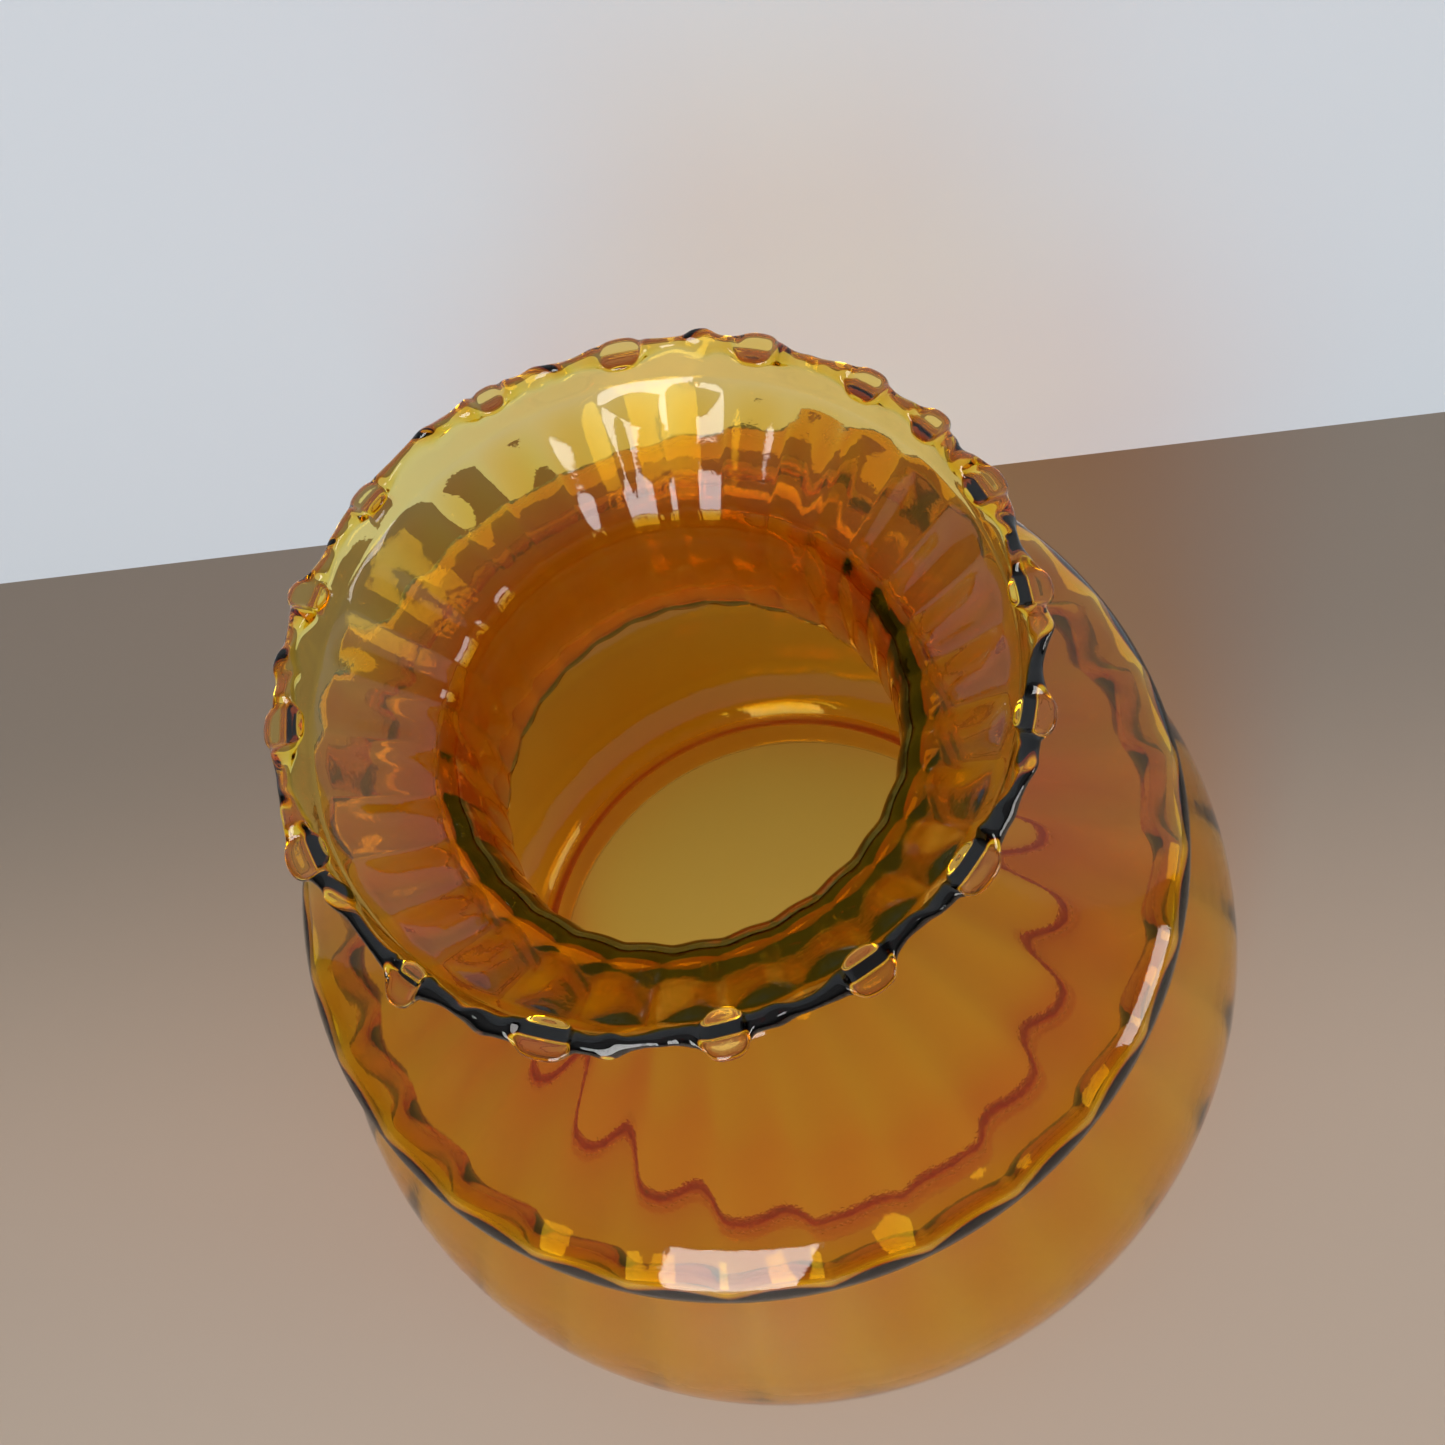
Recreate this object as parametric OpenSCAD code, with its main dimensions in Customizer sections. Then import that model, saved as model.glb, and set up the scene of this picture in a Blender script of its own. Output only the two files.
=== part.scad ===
// Amber ribbed-glass lamp shade, open at both ends, with a crimped top edge.
// It is blown in one piece. The nodes below are the zones of that one wall: each is a closed
// solid, and each meets its neighbour on a shared ring face, without a gap or an overlap.
// +Z is the axis of the shade. The origin is the centre of the ground bottom edge of the collar.

/* [Fitter collar] */
// Outside radius of the collar that sits in a nominal 7 inch shade holder
collar_r = 88.9; // [80:0.1:100]
// Height of the straight part of the collar
collar_h = 22; // [16:0.5:26]
// Wall thickness of the collar
collar_wall = 3.6; // [2.5:0.1:5]

/* [Bell] */
// Wall thickness of the bell and the shoulder
body_wall = 3; // [2.5:0.1:4]
// Outside radius at the widest part of the lower bell
bell_r = 140.9; // [125:0.1:155]
// Height of the widest part of the lower bell
bell_z = 60; // [48:0.5:70]
// Outside radius of the slight waist under the shoulder
waist_r = 111; // [100:0.5:114]
// Height of that waist
waist_z = 130; // [122:0.5:136]

/* [Shoulder] */
// Outside radius at the rounded edge of the shoulder
shoulder_r = 117; // [115:0.1:125]
// Height of the widest part of the shoulder edge
shoulder_z = 150; // [145:0.5:156]

/* [Throat] */
// Bore radius of the straight part of the throat, the narrowest part of the shade
throat_bore_r = 50; // [46:0.1:54]
// Height at which the straight part starts
throat_z = 193; // [190:0.5:196]
// Length of the straight part
throat_h = 12; // [8:0.5:14]
// Wall thickness of the throat
throat_wall = 4.8; // [3:0.1:6]
// Radius of the long curves that open the throat above and below its straight part
throat_curve = 50; // [40:1:60]
// Angle that each of those curves turns through
throat_turn = 14; // [10:1:16]

/* [Mouth] */
// Radius of the middle of the wall at the rim
rim_r = 76.6; // [74:0.1:80]
// Height at which the wall ends under the bead of the lip
rim_z = 250; // [244:0.5:256]
// Angle of the flared wall from the axis, where it meets the band of the lip
rim_lean = 38; // [30:1:48]
// Wall thickness at the rim
rim_wall = 2.6; // [2:0.1:4]

/* [Crimped lip] */
// Length of the smooth band of wall under the bead
lip_band = 8; // [6:0.5:12]
// Angle of that band from the axis
band_lean = 18; // [10:1:30]
// Angles of the flattened pads, uneven because each is pinched by hand, from -Y towards +X
pads_deg = [10, 31, 51, 75, 95, 114, 128, 141, 161, 184, 207, 233, 252, 275, 297, 323, 345];
// Half the width of a pad along the rim, in degrees
pad_half_deg = 4; // [3:0.5:5]
// Half the thickness of the round bead between two pads
bead_half = 2.6; // [2.4:0.1:3.4]
// How far a pad reaches to each side of the middle of the wall
pad_reach = 4.8; // [3:0.1:5]
// Half the thickness of a pad
pad_half = 1.3; // [1:0.1:2]
// How far the rim dips at a pad, and rises between two pads
rim_dip = 0.8; // [0:0.1:1.5]

/* [Optic ribs] */
// Number of ribs around the inside of the wall
rib_count = 30; // [16:1:36]
// Angle of the first rib, from +X
rib_start = 4; // [0:0.5:12]
// How far a rib stands out of the inside of the wall
rib_depth = 0.9; // [0.3:0.05:1.5]
// Share of the rib spacing that a rib fills
rib_share = 0.4; // [0.3:0.05:0.6]

/* [Smoothness] */
// Straight pieces along each curved stretch of the outline
curve_steps = 9; // [6:1:12]
// Sections around the crimped lip
lip_steps = 180; // [120:12:240]
// Points around the bead of the lip
bead_steps = 9; // [7:1:11]

/* [Hidden] */
rim_half = rim_wall / 2;
amber = [0.80, 0.46, 0.06];
deep_amber = [0.55, 0.26, 0.03];
dark_lip = [0.28, 0.12, 0.04];

// Unit direction in a [radius, height] section that leans outward from the axis by an angle.
function heading(lean) = [sin(lean), cos(lean)];

// A station on the outside of the wall: where it is, how the wall leans there, how thick the wall
// is, and how long the curve's handles are before and after it.
function station(r, z, lean, wall, before, after) = [[r, z], lean, wall, before, after];

// Outside radius of the throat, and how far its long curves spread and rise.
throat_r = throat_bore_r + throat_wall;
spread = throat_curve * (1 - cos(throat_turn));
rise = throat_curve * sin(throat_turn);
arc_handle = throat_curve * tan(throat_turn / 4) * 4 / 3;

// The middle of the wall where the flared wall ends and the smooth band of the lip begins.
band_start = [rim_r, rim_z] - lip_band * heading(band_lean);

collar_top = station(collar_r, collar_h, 0, collar_wall, 0, 6);
bell_edge = station(bell_r, bell_z, 0, body_wall, 22, 34);
waist = station(waist_r, waist_z, 0, body_wall, 22, 8);
shoulder_edge = station(shoulder_r, shoulder_z, 0, body_wall, 8, 17);
throat_foot = station(throat_r + spread, throat_z - rise, -throat_turn, throat_wall, 14, arc_handle);
throat_low = station(throat_r, throat_z, 0, throat_wall, arc_handle, 0);
throat_high = station(throat_r, throat_z + throat_h, 0, throat_wall, 0, arc_handle);
throat_head = station(throat_r + spread, throat_high[0][1] + rise, throat_turn, throat_wall, arc_handle, 10);
band_edge = station(band_start[0] + rim_half / cos(rim_lean), band_start[1], rim_lean, rim_wall, 10, 0);

// The cubic curve between two stations: its four handles, a point on it and its direction.
function handles(a, b) = [a[0], a[0] + a[4] * heading(a[1]), b[0] - b[3] * heading(b[1]), b[0]];
function point(h, t) = pow(1 - t, 3) * h[0] + 3 * t * pow(1 - t, 2) * h[1]
                     + 3 * t * t * (1 - t) * h[2] + pow(t, 3) * h[3];
function travel(h, t) = pow(1 - t, 2) * (h[1] - h[0]) + 2 * t * (1 - t) * (h[2] - h[1])
                      + t * t * (h[3] - h[2]);

// The steps along a zone, each as the two stations it lies between and its share of the way.
function steps(zone) = concat(
    [for (i = [0 : len(zone) - 2], k = [0 : curve_steps - 1]) [zone[i], zone[i + 1], k / curve_steps]],
    [[zone[len(zone) - 2], zone[len(zone) - 1], 1]]);
function outer_point(s) = point(handles(s[0], s[1]), s[2]);
function wall_at(s) = s[0][2] + (s[1][2] - s[0][2]) * s[2];

// The step inward from the outside of the wall. It is square to the wall, except at a station,
// where the seam between two zones is cut level.
function square(depth, d) = depth * [-d[1], d[0]] / norm(d);
function level(depth, lean) = [-depth / cos(lean), 0];
function inward(s, depth) = s[2] == 0 ? level(depth, s[0][1])
                          : s[2] == 1 ? level(depth, s[1][1])
                          : square(depth, travel(handles(s[0], s[1]), s[2]));
function inner_point(s, extra) = outer_point(s) + inward(s, wall_at(s) + extra);
function reversed(list) = [for (i = [len(list) - 1 : -1 : 0]) list[i]];

// The wall of a zone, turned about the axis.
module wall_ring(zone) {
    there = [for (s = steps(zone)) outer_point(s)];
    back = reversed([for (s = steps(zone)) inner_point(s, 0)]);
    rotate_extrude($fn = 180) polygon(concat(there, back));
}

// The ribs inside a zone. Each is rooted in the wall, and starts and ends one step from its seams.
module ribs(zone) {
    all = steps(zone);
    last = len(all) - 1;
    root = [for (k = [1 : last - 1]) inner_point(all[k], -body_wall / 2)];
    crest = [for (k = [1 : last - 1]) inner_point(all[k], rib_depth * min(1, k / 2, (last - k) / 2))];
    rib_deg = 360 / rib_count * rib_share;
    for (i = [0 : rib_count - 1])
        rotate(rib_start + i * 360 / rib_count - rib_deg / 2)
            rotate_extrude(angle = rib_deg, $fn = 180) polygon(concat(root, reversed(crest)));
}

module fitter_collar() {
    color(deep_amber)
        difference() {
            cylinder(h = collar_h, r = collar_r, $fn = 180);
            translate([0, 0, -1])
                cylinder(h = collar_h + 2, r = collar_r - collar_wall, $fn = 180);
        }
}

module lower_bell() {
    color(amber) {
        wall_ring([collar_top, bell_edge, waist]);
        ribs([bell_edge, waist]);
    }
}

module shoulder() {
    color(amber) {
        wall_ring([waist, shoulder_edge, throat_foot]);
        ribs([waist, shoulder_edge, throat_foot]);
    }
}

module throat() {
    color(deep_amber) {
        wall_ring([throat_foot, throat_low]);
        translate([0, 0, throat_z])
            difference() {
                cylinder(h = throat_h, r = throat_r, $fn = 180);
                translate([0, 0, -1])
                    cylinder(h = throat_h + 2, r = throat_bore_r, $fn = 180);
            }
        wall_ring([throat_high, throat_head]);
    }
}

module flared_mouth() {
    color(amber) {
        wall_ring([throat_head, band_edge]);
        ribs([throat_head, band_edge]);
    }
}

// How much of a pad there is at an angle: 1 on a pad, 0 on the round bead, with a short ramp.
function gap(a, b) = abs((a - b + 540) % 360 - 180);
function nearest_pad(angle) = min([for (p = pads_deg) gap(angle, p)]);
function pad_share(angle) = let (x = (nearest_pad(angle) / pad_half_deg - 0.5) / 0.5,
                                 u = max(0, min(1, x)))
    1 - u * u * (3 - 2 * u);

// One section through the lip, from the outside of the seam, round the bead, to the inside.
function lip_section(angle) = let (
    share = pad_share(angle),
    reach = bead_half + (pad_reach - bead_half) * share,
    half = bead_half + (pad_half - bead_half) * share,
    dip = [0, rim_dip * (1 - 2 * share)],
    along = heading(band_lean),
    across = [along[1], -along[0]],
    tip = [rim_r, rim_z] + dip,
    start = acos(rim_half / reach),
    middle = tip + half * sin(start) * along)
    concat([band_start + [rim_half / cos(rim_lean), 0]],
           [for (i = [0 : bead_steps]) let (u = -start + (180 + 2 * start) * i / bead_steps)
               middle + reach * cos(u) * across + half * sin(u) * along],
           [band_start - [rim_half / cos(rim_lean), 0]]);

module crimped_lip() {
    ring = bead_steps + 3;
    points = [for (k = [0 : lip_steps - 1])
        let (angle = k * 360 / lip_steps)
        for (p = lip_section(angle)) [p[0] * sin(angle), -p[0] * cos(angle), p[1]]];
    faces = [for (k = [0 : lip_steps - 1], i = [0 : ring - 1])
        let (here = k * ring, next = (k + 1) % lip_steps * ring, j = (i + 1) % ring)
        [here + i, here + j, next + j, next + i]];
    color(dark_lip) polyhedron(points, faces, convexity = 6);
}

fitter_collar();
lower_bell();
shoulder();
throat();
flared_mouth();
crimped_lip();
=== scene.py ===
"""Looks of the amber ribbed-glass lamp shade: one watertight glass wall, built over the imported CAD
zones, with soft ribs inside, a hand-crimped lip and an amber that darkens with the depth of glass,
in a pale studio."""
import math
import random
from collections import namedtuple

import bpy
import numpy as np
from mathutils import Matrix, Vector


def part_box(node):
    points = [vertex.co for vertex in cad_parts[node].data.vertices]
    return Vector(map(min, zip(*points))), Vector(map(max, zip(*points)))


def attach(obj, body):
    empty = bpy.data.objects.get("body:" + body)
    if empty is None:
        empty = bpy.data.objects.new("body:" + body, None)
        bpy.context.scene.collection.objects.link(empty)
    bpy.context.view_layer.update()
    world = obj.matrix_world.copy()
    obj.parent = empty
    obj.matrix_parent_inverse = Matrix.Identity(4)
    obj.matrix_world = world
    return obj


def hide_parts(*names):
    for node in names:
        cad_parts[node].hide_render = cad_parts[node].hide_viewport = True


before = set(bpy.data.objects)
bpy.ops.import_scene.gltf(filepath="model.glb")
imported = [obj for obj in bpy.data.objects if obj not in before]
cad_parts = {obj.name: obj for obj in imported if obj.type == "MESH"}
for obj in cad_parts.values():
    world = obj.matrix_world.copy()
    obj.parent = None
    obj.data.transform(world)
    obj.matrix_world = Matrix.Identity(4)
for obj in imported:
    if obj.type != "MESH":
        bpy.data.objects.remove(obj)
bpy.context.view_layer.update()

MM = 0.001
TURN = 2 * math.pi

# ---------------------------------------------------------------- sizes, in metres
ZONES = ("fitter_collar", "lower_bell", "shoulder", "throat", "flared_mouth", "crimped_lip")


def top_of(node):
    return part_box(node)[1].z


def radius_of(node):
    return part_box(node)[1].y


# where the CAD zones end, from model.glb
COLLAR_R, COLLAR_H = radius_of("fitter_collar"), top_of("fitter_collar")
BELL_R, WAIST_Z = radius_of("lower_bell"), top_of("lower_bell")
SHOULDER_R, FOOT_Z = radius_of("shoulder"), top_of("shoulder")
THROAT_END_R, THROAT_TOP = radius_of("throat"), top_of("throat")
BAND_Z = top_of("flared_mouth")

# stations between the ends of the zones, and the lean of the wall there, from the axis
BELL_Z, WAIST_R, SHOULDER_Z = 60 * MM, 111 * MM, 150 * MM
THROAT_R, THROAT_LOW, THROAT_HIGH = 54.8 * MM, 193 * MM, 205 * MM
THROAT_LEAN, THROAT_HANDLE = math.radians(14), 4.1 * MM
RIM_R, RIM_Z, RIM_LEAN = 76.6 * MM, 250 * MM, math.radians(36)
BAND, BAND_LEAN = 8 * MM, math.radians(18)
EDGE = 0.8 * MM  # the bevel of the ground edge

# wall thickness without the ribs
COLLAR_WALL, CORNER_WALL, BELL_WALL = 3.8 * MM, 5.0 * MM, 2.9 * MM
SHOULDER_WALL, THROAT_WALL, RIM_WALL = 2.7 * MM, 6.3 * MM, 1.9 * MM

# ribs inside the wall, and the soft unevenness of its two faces
RIBS, RIB_DEPTH, RIB_START = 30, 1.6 * MM, math.radians(94)
RIB_FADE, RIB_END = 8 * MM, 1 * MM  # they fade out over this length, this far above the band
OUTER_WAVE, OUTER_WAVES, OUTER_SEED = 0.10 * MM, 6, 3
INNER_WAVE, INNER_WAVES, INNER_SEED = 0.14 * MM, 8, 5
WAVE_TURNS, WAVE_RISE = (1, 7), (10, 60)  # waves round the wall, and radians for each metre of height
CALM_LOW, CALM_HIGH = 40 * MM, 15 * MM  # the faces are even at the ground edge and at the band

# the lip: flat pads at uneven angles, from -Y towards +X, with round bead between them
PADS_DEG = (10, 31, 51, 75, 95, 114, 128, 141, 161, 184, 207, 233, 252, 275, 297, 323, 345)
PAD_HALF, PAD_REACH, PAD_THICK, PAD_DIP = math.radians(3.1), 4.9 * MM, 1.2 * MM, 0.7 * MM
NECK, KNUCKLE, KNUCKLE_LENGTH = 1.35 * MM, 2.8 * MM, 4.0 * MM
FOLD, FOLD_LENGTH, FOLD_SPACING, MOST_FOLD = 1.5 * MM, 2.8 * MM, 10 * MM, 1.1
KNUCKLE_TALL, FOLD_TALL, BEAD_LIFT = 0.95, 0.2 * MM, 0.4 * MM
ROUND, SQUARE, PAD_OUTLINE = 2.0, 4.0, 2.6  # powers of the superellipses of bead and pad
SOFTEN = (1, 3, 4, 3, 1)  # weights of neighbouring angles, where pads and bead run into each other

# how much the hand work varies: shares of the sizes above
LIP_SEED = 11
PAD_HALVES, PAD_REACHES, PAD_THICKS = (0.8, 1.3), (0.85, 1.05), (0.9, 1.15)
KNUCKLES, FOLDS, FOLD_PLACES = (0.5, 1.15), (0.5, 1), (0.3, 0.7)
PAD_TILTS = (-0.2, 0.15)  # in radians
PAD_SHIFTS, BEAD_ARCHES, BEAD_BOWS, BEAD_SNAKES = (0.1, 1.7), (0.1, 0.9), (-1.1, 1.1), (-0.8, 0.8)  # in mm

AROUND = 420  # points round the wall
LIP_AROUND = 2 * AROUND  # points round the lip; seam() relies on the 2
BEAD_POINTS, BAND_POINTS = 26, 6  # rings over the bead, and on each side of the band


# ---------------------------------------------------------------- the outline of the wall
Station = namedtuple("Station", "place lean wall rib before after points")


def heading(lean):
    """Unit direction in a radius and height section that leans outward from the axis."""
    return np.array([math.sin(lean), math.cos(lean)])


def curve(start, end):
    """Points and directions along the cubic curve between two stations, without its last point."""
    a, d = np.array(start.place), np.array(end.place)
    b, c = a + start.after * heading(start.lean), d - end.before * heading(end.lean)
    t = np.arange(start.points)[:, None] / start.points
    points = (1 - t) ** 3 * a + 3 * t * (1 - t) ** 2 * b + 3 * t * t * (1 - t) * c + t ** 3 * d
    travel = (1 - t) ** 2 * (b - a) + 2 * t * (1 - t) * (c - b) + t * t * (d - c)
    if start.after == 0.0:
        travel[0] = heading(start.lean)
    return points, travel


def stations():
    """The stations on the outside of the wall, from the ground edge to the lip's band. Each has its
    radius and height, the lean and thickness of the wall, the strength of the ribs, the handles of
    the curve before and after it, and how many points the curve after it has."""
    band_middle = np.array([RIM_R, RIM_Z]) - BAND * heading(BAND_LEAN)
    across = np.array([math.cos(BAND_LEAN), -math.sin(BAND_LEAN)])
    band_edge = tuple(band_middle + across * RIM_WALL / 2)
    arc = THROAT_HANDLE
    return [
        Station((COLLAR_R, EDGE), 0, COLLAR_WALL, 0, 0, 0, 4),
        Station((COLLAR_R, COLLAR_H), 0, CORNER_WALL, 0, 0, 9 * MM, 13),
        Station((BELL_R, BELL_Z), 0, BELL_WALL, 0.2, 22 * MM, 34 * MM, 12),
        Station((WAIST_R, WAIST_Z), 0, SHOULDER_WALL, 1, 22 * MM, 8 * MM, 6),
        Station((SHOULDER_R, SHOULDER_Z), 0, SHOULDER_WALL, 1, 8 * MM, 17 * MM, 16),
        Station((THROAT_END_R, FOOT_Z), -THROAT_LEAN, THROAT_WALL, 0.4, 14 * MM, arc, 3),
        Station((THROAT_R, THROAT_LOW), 0, THROAT_WALL, 0.3, arc, 0, 2),
        Station((THROAT_R, THROAT_HIGH), 0, THROAT_WALL, 0.3, 0, arc, 3),
        Station((THROAT_END_R, THROAT_TOP), THROAT_LEAN, THROAT_WALL, 0.35, arc, 6 * MM, 13),
        Station(band_edge, RIM_LEAN, RIM_WALL, 0.65, 16 * MM, 0, 0),
    ]


def outline():
    """The outside of the wall as points, inward normals, wall thickness and rib strength."""
    points, normals, walls, ribs = [], [], [], []
    chain = stations()
    for start, end in zip(chain, chain[1:]):
        p, d = curve(start, end)
        t = np.arange(start.points) / start.points
        points.append(p)
        normals.append(np.stack([-d[:, 1], d[:, 0]], 1) / np.linalg.norm(d, axis=1)[:, None])
        walls.append(start.wall + (end.wall - start.wall) * t)
        ribs.append(start.rib + (end.rib - start.rib) * t)
    return tuple(np.concatenate(part) for part in (points, normals, walls, ribs))


def ripple(count, size, seed, theta, along):
    """A soft uneven wave over the wall, as hand-worked glass has: a sum of a few slow waves."""
    rng = random.Random(seed)
    total = np.zeros((len(along), len(theta)))
    for _ in range(count):
        turns, rise = rng.randint(*WAVE_TURNS), rng.uniform(*WAVE_RISE)
        phase = rng.uniform(0, TURN)
        total += np.sin(turns * theta[None, :] + rise * along[:, None] + phase)
    return total * size / math.sqrt(count)


def smooth(x):
    x = np.clip(x, 0, 1)
    return x * x * (3 - 2 * x)


# ---------------------------------------------------------------- the crimped lip
def press_pad(shape, off, half, reach, rng):
    """Sets the lip's section on one pad, which is pressed flat and wide. off is each angle's distance
    from the middle of the pad."""
    pad = np.abs(off) <= half
    spread = np.sqrt(np.clip(1 - np.abs(off[pad] / half) ** PAD_OUTLINE, 0, 1))
    shape["wide"][pad] = NECK + (reach - NECK) * spread
    shape["tall"][pad] = PAD_THICK * rng.uniform(*PAD_THICKS)
    shape["square"][pad] = SQUARE
    shape["turn"][pad] = BAND_LEAN + rng.uniform(*PAD_TILTS)
    shape["lift"][pad] = -PAD_DIP
    shape["shift"][pad] = rng.uniform(*PAD_SHIFTS) * MM


def twist_bead(shape, theta, start, end, rng):
    """Sets the lip's section between two pads: a bead that has a fat knuckle at each end, thin necks
    and twisted swellings, and that turns half round on its way."""
    span = (end - start) % TURN
    along = ((theta - start) % TURN) / span
    gap = along < 1
    along = along[gap]
    length = span * RIM_R
    first = np.exp(-(along * length / KNUCKLE_LENGTH) ** 2) * rng.uniform(*KNUCKLES)
    last = np.exp(-((1 - along) * length / KNUCKLE_LENGTH) ** 2) * rng.uniform(*KNUCKLES)
    fat = (KNUCKLE - NECK) * (first + last)
    fold = np.zeros(len(along))
    for _ in range(int(length / FOLD_SPACING)):
        place = rng.uniform(*FOLD_PLACES)
        fold += np.exp(-((along - place) * length / FOLD_LENGTH) ** 2) * rng.uniform(*FOLDS)
    fold = np.minimum(fold, MOST_FOLD)
    shape["wide"][gap] = NECK + fat + FOLD * fold
    shape["tall"][gap] = NECK + fat * KNUCKLE_TALL + FOLD_TALL * fold
    shape["turn"][gap] = BAND_LEAN + rng.choice((-1, 1)) * math.pi * smooth(along)
    arch = np.sin(math.pi * along)
    shape["lift"][gap] = BEAD_LIFT + rng.uniform(*BEAD_ARCHES) * MM * arch
    bow = rng.uniform(*BEAD_BOWS) * arch
    snake = rng.uniform(*BEAD_SNAKES) * np.sin(TURN * along)
    shape["swing"][gap] = (bow + snake) * MM


def lip_shape(theta):
    """The section of the lip at each angle: half its width, half its height, how square it is, its
    turn, how far it is shifted across the wall, and how far its middle is lifted above the end of
    the wall or swings out of it."""
    count = len(theta)
    shape = {name: np.zeros(count) for name in ("swing", "lift", "shift")}
    shape.update(wide=np.full(count, NECK), tall=np.full(count, NECK),
                 turn=np.full(count, BAND_LEAN), square=np.full(count, ROUND))
    rng = random.Random(LIP_SEED)
    halves = [PAD_HALF * rng.uniform(*PAD_HALVES) for _ in PADS_DEG]
    for i, degrees in enumerate(PADS_DEG):
        centre, j = math.radians(degrees), (i + 1) % len(PADS_DEG)
        reach = PAD_REACH * rng.uniform(*PAD_REACHES)
        off = (theta - centre + math.pi) % TURN - math.pi
        press_pad(shape, off, halves[i], reach, rng)
        twist_bead(shape, theta, centre + halves[i], math.radians(PADS_DEG[j]) - halves[j], rng)
    kernel = np.array(SOFTEN) / sum(SOFTEN)
    for name in ("wide", "tall", "square", "lift", "shift", "swing"):
        values = shape[name]
        shape[name] = np.convolve(np.concatenate([values[-2:], values, values[:2]]), kernel, "valid")
    return shape


def lip_section(shape, k):
    """One section through the lip, from the outside of the band over the bead to its inside, as
    distances across and along the end of the wall."""
    half_wall = RIM_WALL / 2
    bearing = np.radians(np.arange(-180, 541) / 2)  # all round from straight down, in half degrees
    power = shape["square"][k]
    flat = np.abs(np.cos(bearing - shape["turn"][k]) / shape["wide"][k]) ** power
    steep = np.abs(np.sin(bearing - shape["turn"][k]) / shape["tall"][k]) ** power
    rho = (flat + steep) ** (-1 / power)
    out, up = rho * np.cos(bearing) + shape["shift"][k], rho * np.sin(bearing)
    free = ~((np.abs(out) < half_wall) & (up < 0))
    out, up = out[free], up[free]
    length = np.concatenate([[0], np.cumsum(np.hypot(np.diff(out), np.diff(up)))])
    at = np.linspace(0, length[-1], BEAD_POINTS)
    out, up = np.interp(at, length, out), np.interp(at, length, up)
    stem = np.arange(BAND_POINTS) / BAND_POINTS
    low, high = -BAND + (up[0] + BAND) * stem, -BAND + (up[-1] + BAND) * stem
    outside, inside = np.full(BAND_POINTS, half_wall), np.full(BAND_POINTS, -half_wall)
    return np.concatenate([outside, out, inside]), np.concatenate([low, up, high[::-1]])


def lip(theta):
    """The band and the bead of the lip, as rings of radius and height from outside to inside."""
    shape = lip_shape(theta)
    rings = np.zeros((2 * BAND_POINTS + BEAD_POINTS, len(theta), 2))
    for k in range(len(theta)):
        rings[:, k, 0], rings[:, k, 1] = lip_section(shape, k)
    for _ in range(2):  # two passes round off the corners where the band meets the bead
        rings[1:-1] = (rings[:-2] + 2 * rings[1:-1] + rings[2:]) / 4
    across, along = rings[:, :, 0], rings[:, :, 1]
    share = smooth((along + BAND) / BAND)
    radius = RIM_R + across * math.cos(BAND_LEAN) + along * math.sin(BAND_LEAN) + shape["swing"] * share
    height = RIM_Z - across * math.sin(BAND_LEAN) + along * math.cos(BAND_LEAN) + shape["lift"] * share
    return radius, height


# ---------------------------------------------------------------- the mesh
def wall_rings(theta):
    """The rings of the wall from the inside at the band, down, across the ground edge, and up the
    outside to the band again, as radius and height."""
    points, normals, walls, ribs = outline()
    height = points[:, 1]
    rib_turn = RIBS / 2 * (theta - RIB_START + math.pi / 2)
    rib_wave = 0.5 * np.cos(rib_turn) ** 2 + 0.5 * np.abs(np.cos(rib_turn))
    outer_wave = ripple(OUTER_WAVES, OUTER_WAVE, OUTER_SEED, theta, height)
    outer_wave -= outer_wave.min()
    inner_wave = ripple(INNER_WAVES, INNER_WAVE, INNER_SEED, theta, height)
    calm = (smooth(height / CALM_LOW) * smooth((BAND_Z - height) / CALM_HIGH))[:, None]
    ribs = ribs * smooth((BAND_Z + RIB_END - height) / RIB_FADE)
    depth = walls[:, None] + RIB_DEPTH * ribs[:, None] * rib_wave[None, :] + inner_wave * calm

    def stepped_in(by):
        return np.stack([points[:, :1] + normals[:, :1] * by, points[:, 1:] + normals[:, 1:] * by])

    ground = np.array([[COLLAR_R - COLLAR_WALL + EDGE, 0], [COLLAR_R - EDGE, 0]]).T[:, :, None]
    ground = np.broadcast_to(ground, (2, 2, AROUND))
    return np.concatenate([stepped_in(depth)[:, ::-1], ground, stepped_in(outer_wave * calm)], axis=1)


def placed(radius, height, angles):
    """The points of rings that have a radius and a height at each angle."""
    rings = np.stack([radius * np.sin(angles), -radius * np.cos(angles), height], 2)
    return rings.reshape(-1, 3)


def quads(count, around, first):
    """Faces between rings that have the same number of points. first is the first ring's first."""
    ring, step = np.meshgrid(np.arange(count - 1), np.arange(around), indexing="ij")
    here, after = first + ring * around + step, first + ring * around + (step + 1) % around
    return np.stack([here, after, after + around, here + around], 2).reshape(-1, 4).tolist()


def seam(coarse, fine):
    """Triangles between a ring of the wall and a ring of the lip, which has twice the points."""
    faces = []
    for i in range(AROUND):
        j, middle = (i + 1) % AROUND, fine + 2 * i + 1
        here, there = fine + 2 * i, fine + 2 * j
        faces += [(coarse + i, coarse + j, middle), (coarse + i, middle, here),
                  (coarse + j, there, middle)]
    return faces


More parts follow.
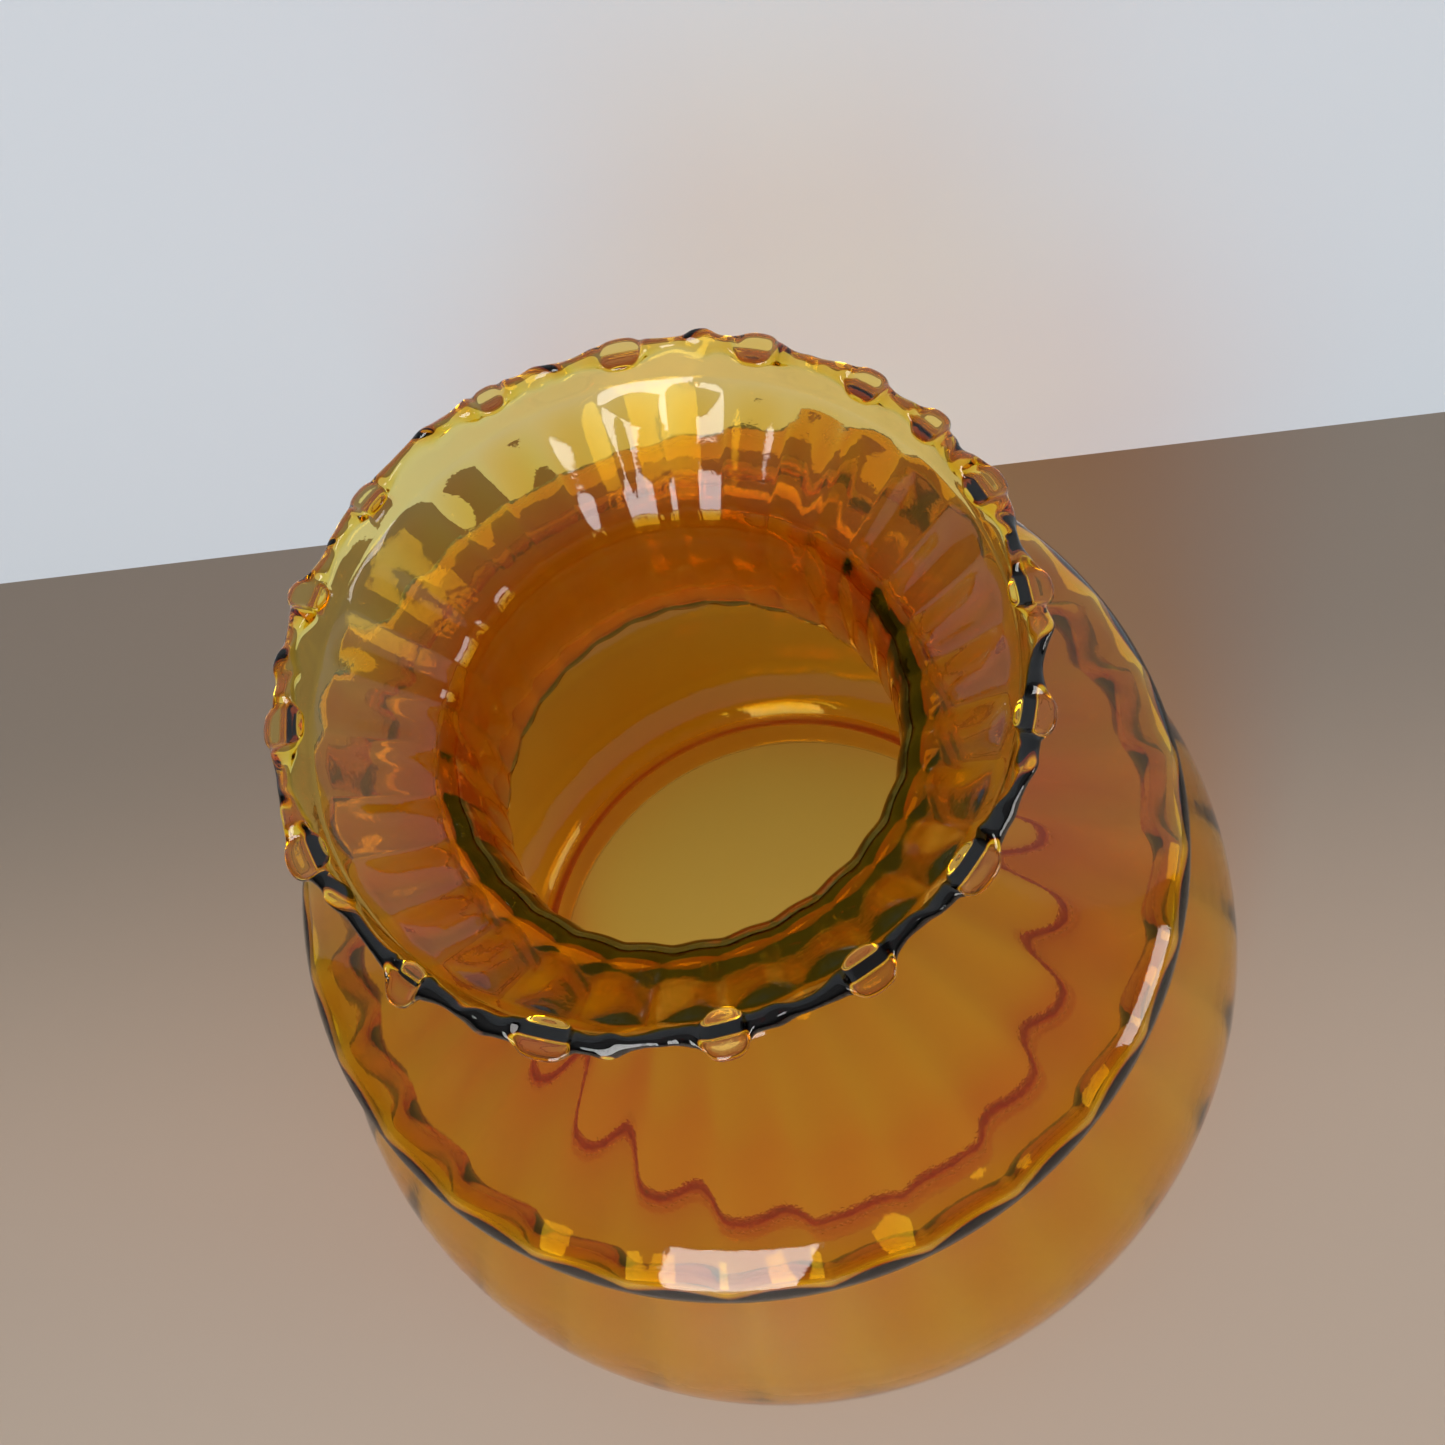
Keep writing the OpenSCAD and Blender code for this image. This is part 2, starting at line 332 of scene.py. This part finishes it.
def glass_wall():
    """The whole wall as one closed mesh: its rings, the rings of the lip, and a seam on each side."""
    theta = np.arange(AROUND) * TURN / AROUND
    fine = np.arange(LIP_AROUND) * TURN / LIP_AROUND
    radius, height = wall_rings(theta)
    lip_radius, lip_height = lip(fine)
    vertices = np.concatenate([placed(radius, height, theta), placed(lip_radius, lip_height, fine)])
    wall_count, lip_count = len(radius), len(lip_radius)
    lip_first = wall_count * AROUND
    faces = quads(wall_count, AROUND, 0) + quads(lip_count, LIP_AROUND, lip_first)
    faces += seam((wall_count - 1) * AROUND, lip_first)
    faces += [face[::-1] for face in seam(0, lip_first + (lip_count - 1) * LIP_AROUND)]
    mesh = bpy.data.meshes.new("glass_shade")
    mesh.from_pydata(vertices.tolist(), [], faces)
    mesh.update()
    mesh.shade_smooth()
    piece = bpy.data.objects.new("glass_shade", mesh)
    bpy.context.collection.objects.link(piece)
    return piece


# ---------------------------------------------------------------- materials
IOR, CLEAR, DEPTH_COLOUR, DEPTH_DENSITY = 1.5, (1, 1, 1), (0.967, 0.838, 0.0), 600.0
STAND_IN = (1.1, 1.11, 1.18)
SEED_SCALE, SEED_DETAIL, SEED_BUMP, SEED_HEIGHT = 900.0, 2.0, 0.02, 0.5 * MM
BAKED_AMBER, BAKE_RAY, BAKE_RAY_SLACK = (0.88, 0.50, 0.07), 1.0, 0.00001


def new_material(name):
    material = bpy.data.materials.new(name)
    material.use_nodes = True
    tree = material.node_tree
    tree.nodes.clear()
    return material, tree, tree.nodes.new("ShaderNodeOutputMaterial")


def add_node(tree, kind, **inputs):
    """A new node with values for its inputs, whose names are written with _ in place of spaces."""
    made = tree.nodes.new(kind)
    for name, value in inputs.items():
        made.inputs[name.replace("_", " ")].default_value = value
    return made


def maths(tree, operation, *inputs):
    """The output of a Math node. Each input is a number, or a socket to link."""
    made = tree.nodes.new("ShaderNodeMath")
    made.operation = operation
    for into, value in zip(made.inputs, inputs):
        if isinstance(value, float):
            into.default_value = value
        else:
            tree.links.new(value, into)
    return made.outputs[0]


def colour_mix(tree, share, first, second):
    """A socket for the first colour where share is 0, and for the second where it is 1."""
    made = tree.nodes.new("ShaderNodeMix")
    made.data_type = "RGBA"
    made.inputs["A"].default_value = (*first, 1)
    made.inputs["B"].default_value = (*second, 1)
    tree.links.new(share, made.inputs["Factor"])
    return made.outputs["Result"]


def shader_mix(tree, share, first, second):
    """A socket for the first shader where share is 0, and for the second where it is 1."""
    made = tree.nodes.new("ShaderNodeMixShader")
    tree.links.new(share, made.inputs["Fac"])
    tree.links.new(first.outputs["BSDF"], made.inputs[1])
    tree.links.new(second.outputs["BSDF"], made.inputs[2])
    return made.outputs["Shader"]


def amber_glass():
    """Clear glass whose amber comes from the depth of glass that light crosses. Shadow and diffuse
    rays pass straight through a tinted stand-in, so the floor under the glass is lit amber. An
    exported model can't hold that depth, so a bake, whose rays are BAKE_RAY long, reads one plain
    amber in its place. A render of the scene doesn't see it."""
    material, tree, out = new_material("amber_glass")
    link = tree.links.new
    glass = add_node(tree, "ShaderNodeBsdfPrincipled", Roughness=0.0, IOR=IOR, Transmission_Weight=1.0)
    path = tree.nodes.new("ShaderNodeLightPath")
    baked = maths(tree, "COMPARE", path.outputs["Ray Length"], BAKE_RAY, BAKE_RAY_SLACK)
    link(colour_mix(tree, baked, CLEAR, BAKED_AMBER), glass.inputs["Base Color"])

    coordinates = tree.nodes.new("ShaderNodeTexCoord")
    seeds = add_node(tree, "ShaderNodeTexNoise", Scale=SEED_SCALE, Detail=SEED_DETAIL)
    link(coordinates.outputs["Object"], seeds.inputs["Vector"])
    bump = add_node(tree, "ShaderNodeBump", Strength=SEED_BUMP, Distance=SEED_HEIGHT)
    link(seeds.outputs["Fac"], bump.inputs["Height"])
    link(bump.outputs["Normal"], glass.inputs["Normal"])

    through = add_node(tree, "ShaderNodeBsdfTransparent", Color=(*STAND_IN, 1))
    lighting = maths(tree, "MAXIMUM", path.outputs["Is Shadow Ray"], path.outputs["Is Diffuse Ray"])
    link(shader_mix(tree, lighting, glass, through), out.inputs["Surface"])
    depth = add_node(tree, "ShaderNodeVolumeAbsorption", Color=(*DEPTH_COLOUR, 1), Density=DEPTH_DENSITY)
    link(depth.outputs["Volume"], out.inputs["Volume"])
    return material


# ---------------------------------------------------------------- studio
STUDIO_REACH, WALL_Y = 2.5, 0.198
WALL_COLOUR, WALL_GLOW, WALL_ROUGHNESS = (0.26, 0.27, 0.28), (0.35, 0.39, 0.435), 0.9
# near and far tones of the floor: partly its two plank tones, partly painted light, paler in front where
# the front window lights it more
NEAR_FLOOR, FAR_FLOOR, FLOOR_ROUGHNESS = (0.64, 0.52, 0.42), (0.375, 0.32, 0.27), 0.6
NEAR_Y, FAR_Y = -0.07, 0.13  # the floor's tone changes between them


def backdrop_surface():
    """A pale wall that glows by itself: it is seen and reflected, leaves the lighting of the floor
    to the windows, and is clear from its back."""
    material, tree, out = new_material("pale_wall")
    link = tree.links.new
    surface = add_node(tree, "ShaderNodeBsdfPrincipled", Roughness=WALL_ROUGHNESS,
                       Base_Color=(*WALL_COLOUR, 1), Emission_Color=(*WALL_GLOW, 1))
    path = tree.nodes.new("ShaderNodeLightPath")
    seen = maths(tree, "SUBTRACT", 1.0, path.outputs["Is Diffuse Ray"])
    link(seen, surface.inputs["Emission Strength"])
    side = tree.nodes.new("ShaderNodeNewGeometry")
    clear = tree.nodes.new("ShaderNodeBsdfTransparent")
    link(shader_mix(tree, side.outputs["Backfacing"], surface, clear), out.inputs["Surface"])
    return material


def floor_surface():
    """A plain floor that grows softly paler towards the front window: partly the two tones of its planks,
    and partly painted light, standing in for the window lighting the near floor more.
    """
    material, tree, out = new_material("pale_floor")
    link = tree.links.new
    surface = add_node(tree, "ShaderNodeBsdfPrincipled", Roughness=FLOOR_ROUGHNESS)
    where = tree.nodes.new("ShaderNodeTexCoord")
    apart = tree.nodes.new("ShaderNodeSeparateXYZ")
    share = add_node(tree, "ShaderNodeMapRange", From_Min=NEAR_Y, From_Max=FAR_Y)
    share.interpolation_type = "SMOOTHSTEP"
    link(where.outputs["Object"], apart.inputs["Vector"])
    link(apart.outputs["Y"], share.inputs["Value"])
    link(colour_mix(tree, share.outputs["Result"], NEAR_FLOOR, FAR_FLOOR), surface.inputs["Base Color"])
    link(surface.outputs["BSDF"], out.inputs["Surface"])
    return material


def plane(name, corners, material):
    mesh = bpy.data.meshes.new(name)
    mesh.from_pydata(corners, [], [(0, 1, 2, 3)])
    mesh.materials.append(material)
    mesh.update()
    made = bpy.data.objects.new(name, mesh)
    bpy.context.collection.objects.link(made)


def studio():
    far = STUDIO_REACH
    plane("floor", [(-far, -far, 0), (far, -far, 0), (far, far, 0), (-far, far, 0)], floor_surface())
    plane("wall", [(-far, WALL_Y, 0), (far, WALL_Y, 0), (far, WALL_Y, far), (-far, WALL_Y, far)],
          backdrop_surface())


# ---------------------------------------------------------------- light and camera
LIGHT_AIM = Vector((0, 0, 0.12))
AIR_COLOUR, AIR_SEEN = (0.97, 0.985, 1.0), 0.5
AIR_RISE, AIR_STRENGTH = (0.25, 0.75), (0.06, 0.32)  # how steeply upward, and how bright there

CAMERA_HEIGHT = 0.505
CAMERA_PLACE = Vector((0.1065, -0.257, 1.0)) * CAMERA_HEIGHT
CAMERA_YAW, CAMERA_PITCH, CAMERA_ROLL = math.radians(-18.74), math.radians(64.66), math.radians(22.61)
SENSOR_MM, LENS_MM, CLIP_START = 36.0, 36.12, 0.01

BOUNCES, CLEAR_BOUNCES = 24, 32


def soft_light(name, place, size, power, colour=(1, 1, 1)):
    data = bpy.data.lights.new(name, "AREA")
    data.shape = "RECTANGLE"
    data.size, data.size_y = size
    data.energy = power
    data.color = colour
    light = bpy.data.objects.new(name, data)
    light.location = place
    light.rotation_euler = (LIGHT_AIM - Vector(place)).to_track_quat("-Z", "Y").to_euler()
    bpy.context.collection.objects.link(light)


def lights():
    soft_light("front_window", place=(-0.2, -1.2, 0.56), size=(0.5, 1.1), power=14.5)
    soft_light("side_window", place=(1.4, -0.35, 0.42), size=(0.5, 0.55), power=5.5,
               colour=(1.0, 0.96, 0.93))


def room_air():
    """Soft light from all round. Rays from the camera and rays through the glass see it at one
    strength. Reflections and the floor get a room that is dim at eye level and brighter overhead."""
    world = bpy.data.worlds.new("studio_air")
    world.use_nodes = True
    tree = world.node_tree
    link = tree.links.new
    background = tree.nodes["Background"]
    background.inputs["Color"].default_value = (*AIR_COLOUR, 1)
    where = tree.nodes.new("ShaderNodeTexCoord")
    apart = tree.nodes.new("ShaderNodeSeparateXYZ")
    rise = add_node(tree, "ShaderNodeMapRange", From_Min=AIR_RISE[0], From_Max=AIR_RISE[1],
                    To_Min=AIR_STRENGTH[0], To_Max=AIR_STRENGTH[1])
    link(where.outputs["Generated"], apart.inputs["Vector"])
    link(apart.outputs["Z"], rise.inputs["Value"])
    path = tree.nodes.new("ShaderNodeLightPath")
    seen = maths(tree, "MAXIMUM", path.outputs["Is Camera Ray"], path.outputs["Is Transmission Ray"])
    strength = add_node(tree, "ShaderNodeMix", B=AIR_SEEN)
    link(seen, strength.inputs["Factor"])
    link(rise.outputs["Result"], strength.inputs["A"])
    link(strength.outputs["Result"], background.inputs["Strength"])
    bpy.context.scene.world = world


def camera():
    data = bpy.data.cameras.new("camera")
    data.sensor_width = SENSOR_MM
    data.lens = LENS_MM
    data.clip_start = CLIP_START
    eye = bpy.data.objects.new("camera", data)
    turn = (Matrix.Rotation(-CAMERA_YAW, 4, "Z") @ Matrix.Rotation(math.pi / 2 - CAMERA_PITCH, 4, "X")
            @ Matrix.Rotation(-CAMERA_ROLL, 4, "Z"))
    eye.matrix_world = Matrix.Translation(CAMERA_PLACE) @ turn
    bpy.context.collection.objects.link(eye)
    bpy.context.scene.camera = eye


# ---------------------------------------------------------------- the build
shade = glass_wall()
shade.data.materials.append(amber_glass())
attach(shade, "root")
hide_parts(*ZONES)
studio()
lights()
room_air()
camera()

scene = bpy.context.scene
scene.view_settings.view_transform = "Standard"
scene.cycles.max_bounces = BOUNCES
scene.cycles.transmission_bounces = BOUNCES
scene.cycles.transparent_max_bounces = CLEAR_BOUNCES
